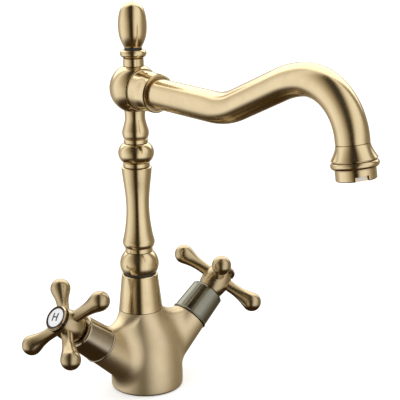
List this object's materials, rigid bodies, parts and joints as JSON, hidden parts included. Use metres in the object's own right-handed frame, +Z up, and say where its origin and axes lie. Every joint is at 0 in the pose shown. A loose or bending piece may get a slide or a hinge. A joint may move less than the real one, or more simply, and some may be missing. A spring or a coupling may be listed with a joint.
{
  "type": "bathroom mixer faucet",
  "caption": "Single-hole basin mixer with a turned swivel column, an S-curved spout, and hot and cold cross handles on angled valves.",
  "frame": {"origin": "centre of the round base on the deck face", "axes": "+Z up from the deck, -Y towards the basin and along the spout at rest, -X is the hot side and +X the cold side"},
  "size_m": [0.176, 0.2367, 0.2672],
  "materials": {
    "antique_brass": "brushed antique brass, lacquered",
    "dark_brass": "dark oxidised brass rim",
    "sleeve_bronze": "satin grey-green bronze",
    "plain_brass": "turned brass, unplated",
    "black_ring": "black ring",
    "porcelain": "glazed white porcelain",
    "ceramic": "lapped alumina",
    "rubber": "black nitrile rubber",
    "bearing_plastic": "black acetal",
    "steel": "stainless steel",
    "aerator_grey": "silver-grey aerator insert"
  },
  "bodies": {
    "body": {"base_gasket": "rubber", "cold_cartridge": "plain_brass", "cold_fixed_disc": "ceramic", "cold_seat_seal": "rubber", "cold_sleeve": "sleeve_bronze", "collar": "antique_brass", "hot_cartridge": "plain_brass", "hot_fixed_disc": "ceramic", "hot_seat_seal": "rubber", "hot_sleeve": "sleeve_bronze", "swivel_washer": "bearing_plastic", "valve_body": "antique_brass"},
    "spout": {"column": "antique_brass", "spigot_o_ring_lower": "rubber", "spigot_o_ring_upper": "rubber", "retaining_ring": "bearing_plastic", "hub": "antique_brass", "finial_collar": "antique_brass", "finial_ring": "black_ring", "finial_egg": "antique_brass", "spout_union": "antique_brass", "spout_o_ring": "rubber", "spout_tube": "antique_brass", "outlet_bell": "antique_brass", "aerator_housing": "antique_brass", "aerator_insert": "aerator_grey", "aerator_washer": "rubber"},
    "hot_handle": {"hot_moving_disc": "ceramic", "hot_spindle": "plain_brass", "hot_spindle_o_ring": "rubber", "hot_spindle_clip": "steel", "hot_handle": "antique_brass", "hot_handle_screw": "steel", "hot_index_rim": "dark_brass", "hot_index_disc": "porcelain"},
    "cold_handle": {"cold_moving_disc": "ceramic", "cold_spindle": "plain_brass", "cold_spindle_o_ring": "rubber", "cold_spindle_clip": "steel", "cold_handle": "antique_brass", "cold_handle_screw": "steel", "cold_index_rim": "dark_brass", "cold_index_disc": "porcelain"}
  },
  "joints": [
    {"name": "spout_swivel", "type": "hinge", "parent": "body", "child": "spout", "pos_m": [0, 0.005, 0.0815], "axis": [0, 0, 1], "continuous": true},
    {"name": "hot_turn", "type": "hinge", "parent": "body", "child": "hot_handle", "pos_m": [-0.06727, 0, 0.0621], "axis": [-0.7804, 0, 0.6252], "range_deg": [0, 90]},
    {"name": "cold_turn", "type": "hinge", "parent": "body", "child": "cold_handle", "pos_m": [0.06727, 0, 0.0621], "axis": [0.7804, 0, 0.6252], "range_deg": [0, 90]}
  ]
}
